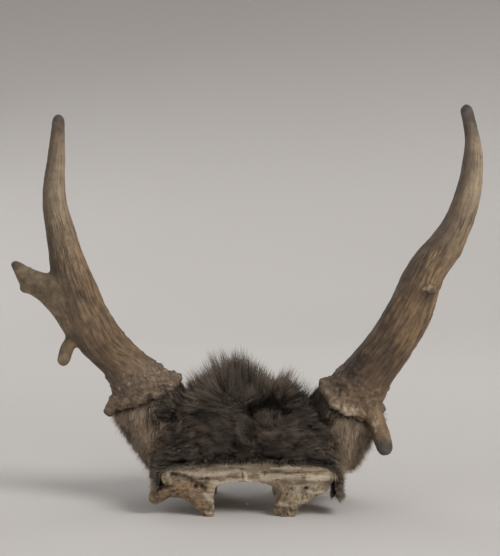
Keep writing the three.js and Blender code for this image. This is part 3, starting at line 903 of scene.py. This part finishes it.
def depth_of_fur(places, facing):
    """How far the fur's solid reaches above the skin at each place."""
    tree = tree_of("scalp_fur")
    depth = np.zeros(len(places))
    for i, (place, direction) in enumerate(zip(places, facing)):
        start, way = Vector(place), Vector(direction)
        inner = tree.ray_cast(start - way, way, 4)
        if inner[0] is None:
            continue
        outer = tree.ray_cast(inner[0] + way * 0.05, way, 80)
        depth[i] = inner[3] + outer[3] if outer[0] is not None else 0
    return depth


def ribbons(paths, widths, facing):
    """Flat tapering hairs along paths: points and triangles. A hair ends in one point."""
    count, rings, _ = paths.shape
    ways = unit(np.gradient(paths, axis=1))
    sides = unit(np.cross(ways, facing[:, None]))
    taper = np.linspace(1, 0.35, rings)[None, :-1, None]
    half = sides[:, :-1] * widths[:, None, None] * taper / 2
    points = np.concatenate([
        np.stack([paths[:, :-1] - half, paths[:, :-1] + half], axis=2).reshape(count, -1, 3),
        paths[:, -1:],
    ], axis=1)
    strip = []
    for ring in range(rings - 2):
        a = 2 * ring
        strip += [(a, a + 1, a + 2), (a + 1, a + 3, a + 2)]
    last = 2 * (rings - 2)
    strip.append((last, last + 1, last + 2))
    starts = np.arange(count) * points.shape[1]
    faces = (np.array(strip)[None] + starts[:, None, None]).reshape(-1, 3)
    return points.reshape(-1, 3), faces


def fur_piece(name, chosen, hairs, material):
    _, facing, paths, tone, widths = [part[chosen] for part in hairs]
    points, faces = ribbons(paths, widths, facing)
    rings = paths.shape[1]
    along = np.concatenate([np.repeat(np.linspace(0, 1, rings)[:-1], 2), [1]])
    fields = {
        "along": np.tile(along, len(paths)),
        "tone": np.repeat(tone, 2 * rings - 1),
    }
    obj = mesh_object(name, points, faces, material, fields)
    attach(obj, "root")
    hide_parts("scalp_fur")


def nearest_lock(places, count, rng):
    """Gathers hairs into locks: the index of the hair in the middle of each one's lock."""
    middles = rng.choice(len(places), count, replace=False)
    tree = tree_of_points(places[middles])
    return middles[[tree.find(p)[1] for p in places]]


def hair_paths(places, facing, lean, flow, length, rings):
    """Hairs that leave the skin and bend over towards their flow."""
    t = np.linspace(0, 1, rings)[None, :, None]
    begin, end = [
        facing * np.cos(angle)[:, None] + flow * np.sin(angle)[:, None]
        for angle in (lean * 0.65, lean * 1.2)
    ]
    bend = begin[:, None] * t + (end - begin)[:, None] * t * t / 2
    return places[:, None] + length[:, None, None] * bend


def gathered(paths, middles, pull):
    """Hairs drawn towards the middle hair of their lock, most at their ends."""
    t = np.linspace(0, 1, paths.shape[1])[None, :, None]
    share = pull[:, None, None] * t**1.2
    return paths * (1 - share) + paths[middles] * share


def near_burr(places):
    """1 at the foot of an antler, where the hair turns up over the burr's edge."""
    away = [np.linalg.norm(places - look["burr"], axis=1) for look in (LEFT, RIGHT)]
    return 1 - ramp(np.minimum(*away), *BURR_EDGE)


def scaled(places, paths, share):
    """Hairs made shorter, or longer, from their roots."""
    return places[:, None] + (paths - places[:, None]) * share[:, None, None]


def below_crown(places, paths, spread, most):
    """Ends hairs at the hair's outline across the head, without lengthening one more than most."""
    share = np.full(len(places), 9.0)
    for ring in range(1, paths.shape[1]):
        top = np.interp(paths[:, ring, 0], *zip(*CROWN_TOP)) + spread
        rise = np.maximum(paths[:, ring, 2] - places[:, 2], 1e-3)
        share = np.minimum(share, (top - places[:, 2]) / rise)
    return scaled(places, paths, np.clip(share, 0.25, most))


def inside_coat(places, paths, reach):
    """Shortens the hairs that stand further forward or back than the coat does."""
    side = np.sign(places[:, 1])
    start = side * places[:, 1]
    furthest = (side[:, None] * paths[:, :, 1]).max(1)
    share = (reach - start) / np.maximum(furthest - start, 1e-3)
    return scaled(places, paths, np.clip(share, 0.2, 1))


def above_fringe(places, paths, trim):
    """Shortens the hairs in front of the sawn forehead that hang lower than its fringe."""
    x, y, z = paths[:, -1].T
    in_front = (y < FRONT_FACE + 6) & (abs(x) < FRINGE_HALF_WIDTH)
    drop = np.maximum(places[:, 2] - z, 1e-3)
    share = np.clip((places[:, 2] - trim) / drop, 0.12, 1)
    return scaled(places, paths, np.where(in_front, share, 1))


def long_fur(rng):
    """The dark hair: standing up on the crown, hanging over the forehead, in locks."""
    places, facing = skin_outside(LONG_PLACES, 5)
    bare = bare_sides(places)
    kept = rng.random(len(places)) > bare
    places, facing, bare = places[kept], facing[kept], bare[kept]
    depth = depth_of_fur(places, facing)
    count = len(places)
    x, y, z = places.T
    crown = ramp(z, *CROWN_HEIGHT) * ramp(y, *CROWN_DEPTH)
    parting = crown * (1 - crown) * 4
    flap = (1 - ramp(z, *FLAP_TOP)) * ramp(abs(x), *FLAP_SIDE)
    small = nearest_lock(places, SMALL_LOCKS, rng)
    large = nearest_lock(places, LARGE_LOCKS, rng)
    loose = rng.random(count) < WISPS * (1 + 6 * crown)
    fan = (x / FAN_SPREAD)[:, None] * [1, 0, 0] + [0, 0, 1]
    grow = unit(facing + 1.6 * crown[:, None] * fan)

    flow = crown[:, None] * CROWN_FLOW + (1 - crown)[:, None] * FOREHEAD_FLOW
    sideways = ramp(abs(x), 50, 85) * (1 - crown) * np.sign(x)
    flow = flow + (x / 55 + 0.9 * sideways)[:, None] * [1, 0, 0]
    flow = flow + (0.9 - 0.25 * crown)[:, None] * swirl(places, 24, 100)
    flow = flow + 0.7 * swirl(places, 10, 110)
    outwards = np.sign(x)[:, None] * [1.4, 0, 0] + [0, -0.3, 0.3]
    flow = flow + 1.2 * near_burr(places)[:, None] * BURR_FLOW + flap[:, None] * outwards
    flow = flow + rng.normal(0, 0.22, (count, 3))[large] + rng.normal(0, 0.16, (count, 3))
    flow = unit(flow - grow * (flow * grow).sum(1)[:, None])
    lean = 1.0 - 0.6 * crown - 0.15 * parting + 0.28 * noise(places, 12, 120)
    lean = np.clip(lean + rng.normal(0, 0.12, count) - 0.3 * loose, 0.15, 1.25)
    reach = np.clip(depth, 3, 60) / np.cos(np.minimum(lean, 0.95))
    length = reach * rng.uniform(0.72, 1.08, count) * rng.uniform(0.85, 1.1, count)[large]
    on_flap = rng.uniform(*FLAP_LENGTH, count)
    length = np.where(flap > 0.5, on_flap, np.clip(length, *LONG_LENGTH)) * (1 + 0.15 * loose)
    length = length * (1 - 0.6 * bare)
    length = np.maximum(length, rng.uniform(*BURR_HAIR, count) * near_burr(places) * (1 - bare))

    paths = hair_paths(places, grow, lean, flow, length, LONG_RINGS)
    t = np.linspace(0, 1, LONG_RINGS)[None, :, None]
    paths = paths + t**1.5 * (length[:, None, None] * 0.15) * swirl(places, 6, 130)[:, None]
    paths = gathered(paths, small, np.where(loose, 0, rng.uniform(0.3, 0.75, count) + 0.05 * crown))
    paths = gathered(paths, large, np.where(loose, 0, rng.uniform(0.05, 0.35, count)))
    spikes = rng.uniform(-4, SPIKES, count)
    locks = rng.uniform(-13, 2, count)[large] - 4 * rng.random(count)
    paths = below_crown(places, paths, np.where(loose, spikes, locks), 1 + 0.5 * loose * crown)
    paths = above_fringe(places, paths, FRINGE_HEIGHT + rng.uniform(1, 5, count))
    paths = inside_coat(places, paths, COAT_REACH - rng.uniform(0, 9, count))
    by_large, by_small, by_hair = rng.random((3, count))
    tone = 0.25 * by_large[large] + 0.5 * by_small[small] + 0.25 * by_hair
    tone = 1.5 * (tone - 0.5) + 0.5 + 0.3 * noise(places, 20, 140)
    tone = tone + 0.3 * bare + 0.27 * crown + flap * np.where(x > 0, 0.8, 0.55)
    widths = rng.uniform(*HAIR_WIDTHS, count) * (1 - 0.22 * crown) * (1 + 0.15 * loose)
    return places, facing, paths, np.clip(tone, 0, 1), widths


def side_fur(rng):
    """Short tan hair below the antlers, lying down and outwards."""
    places, facing = skin_outside(SIDE_PLACES, 6)
    kept = rng.random(len(places)) < bare_sides(places)
    places, facing = places[kept], facing[kept]
    count = len(places)
    in_shade = near_burr(places) + 1 - bare_sides(places)
    loose = rng.random(count) < SIDE_WISPS
    flow = SIDE_FLOW + 0.5 * swirl(places, 22, 150) + 0.35 * swirl(places, 7, 160)
    flow = flow + rng.normal(0, 0.22, (count, 3))
    flow = unit(flow - facing * (flow * facing).sum(1)[:, None])
    lean = 1.0 + 0.2 * noise(places, 10, 155) + rng.normal(0, 0.14, count) - 0.45 * loose
    lean = np.clip(lean, 0.3, 1.3)
    length = rng.uniform(*SIDE_LENGTH, count) * (1 + 0.2 * loose)
    paths = hair_paths(places, facing, lean, flow, length, SIDE_RINGS)
    locks = nearest_lock(places, SIDE_LOCKS, rng)
    paths = gathered(paths, locks, rng.uniform(0.1, 0.5, count))
    tone = 0.62 + 0.5 * noise(places, 16, 170) + 0.35 * noise(places, 6, 171)
    tone = tone + rng.normal(0, 0.2, count) - np.where(places[:, 0] < 0, 0.25, 0.05) * in_shade
    return places, facing, paths, np.clip(tone, 0, 1), rng.uniform(*HAIR_WIDTHS, count)


def fur():
    rng = np.random.default_rng(11)
    dark_shades = (23, 21, 19), (56, 50, 44), (98, 88, 78), (140, 124, 109)
    tan_shades = (74, 61, 50), (148, 128, 107), (176, 156, 133), (200, 182, 159)
    dark = fur_material("dark_fur", *dark_shades, depth=0.6)
    tan = fur_material("tan_fur", *tan_shades, depth=0.8)
    hairs = long_fur(rng)
    x, y, _ = hairs[0].T
    right, behind = x > 0, y > CROWN_FRONT
    fur_piece("crown_fur_left", behind & ~right, hairs, dark)
    fur_piece("crown_fur_right", behind & right, hairs, dark)
    fur_piece("forehead_fur_left", ~behind & ~right, hairs, dark)
    fur_piece("forehead_fur_right", ~behind & right, hairs, dark)
    hairs = side_fur(rng)
    right = hairs[0][:, 0] > 0
    fur_piece("temple_fur_left", ~right, hairs, tan)
    fur_piece("temple_fur_right", right, hairs, tan)


# ---- Stage ----


def studio():
    """A round pale floor that bends up into a wall, so that every view has it behind."""
    bend = [
        (FLOOR_RADIUS + WALL_RADIUS * math.sin(a), WALL_RADIUS * (1 - math.cos(a)))
        for a in np.radians(np.arange(0, 91, 7.5))
    ]
    profile = [(0.001, 0), (FLOOR_RADIUS / 2, 0), *bend, (FLOOR_RADIUS + WALL_RADIUS, WALL_HEIGHT)]
    around = np.radians(np.arange(0, 360, 5))
    points = np.array([[r * math.cos(a), r * math.sin(a), z] for r, z in profile for a in around])
    corners = np.arange(len(points)).reshape(len(profile), len(around))
    inner, outer = corners[:-1], corners[1:]
    squares = inner, np.roll(inner, -1, axis=1), np.roll(outer, -1, axis=1), outer
    faces = np.stack(squares, axis=2).reshape(-1, 4)
    mesh_object("studio_floor", points / MM, faces, floor_material())


def lamp(name, place, size, power, aim=(0, 0, 0.2), colour=(1, 1, 1)):
    data = bpy.data.lights.new(name, "AREA")
    data.shape = "DISK"
    data.size = size
    data.energy = power
    data.color = colour
    obj = bpy.data.objects.new(name, data)
    obj.location = place
    obj.rotation_euler = (Vector(aim) - Vector(place)).to_track_quat("-Z", "Y").to_euler()
    obj.visible_camera = False
    scene.collection.objects.link(obj)


def lights():
    world = bpy.data.worlds.new("soft_light")
    world.use_nodes = True
    background = next(n for n in world.node_tree.nodes if n.type == "BACKGROUND")
    background.inputs["Color"].default_value = (1.0, 0.99, 0.98, 1)
    background.inputs["Strength"].default_value = WORLD_LIGHT
    scene.world = world
    lamp("key", (1.9, -1.9, 2.3), 1.7, 64, colour=(1, 0.98, 0.95))
    lamp("fill", (-2.2, -1.6, 0.9), 1.4, 8, colour=(0.93, 0.97, 1))
    lamp("backdrop", (0.6, 1.0, 1.6), 1.2, 5, aim=(0, 2.6, 0.2))
    lamp("rear", (-1.1, 1.7, 1.3), 1.5, 7, aim=(0, 0.3, 0))


def camera():
    data = bpy.data.cameras.new("camera")
    data.lens = LENS
    obj = bpy.data.objects.new("camera", data)
    ahead = Vector((0, math.cos(CAMERA_ELEVATION), -math.sin(CAMERA_ELEVATION)))
    obj.location = AIM - ahead * CAMERA_DISTANCE
    obj.rotation_euler = ahead.to_track_quat("-Z", "Y").to_euler()
    scene.collection.objects.link(obj)
    scene.camera = obj


camera()
lights()
studio()
antler("left_antler", "antler_left", "antler_left_fork", 0, LEFT, 1)
antler("right_antler", "antler_right", "antler_right_brow_tine", 2, RIGHT, 31)
skull()
scalp()
fur()
scene.view_settings.view_transform = "Standard"
scene.cycles.use_denoising = True
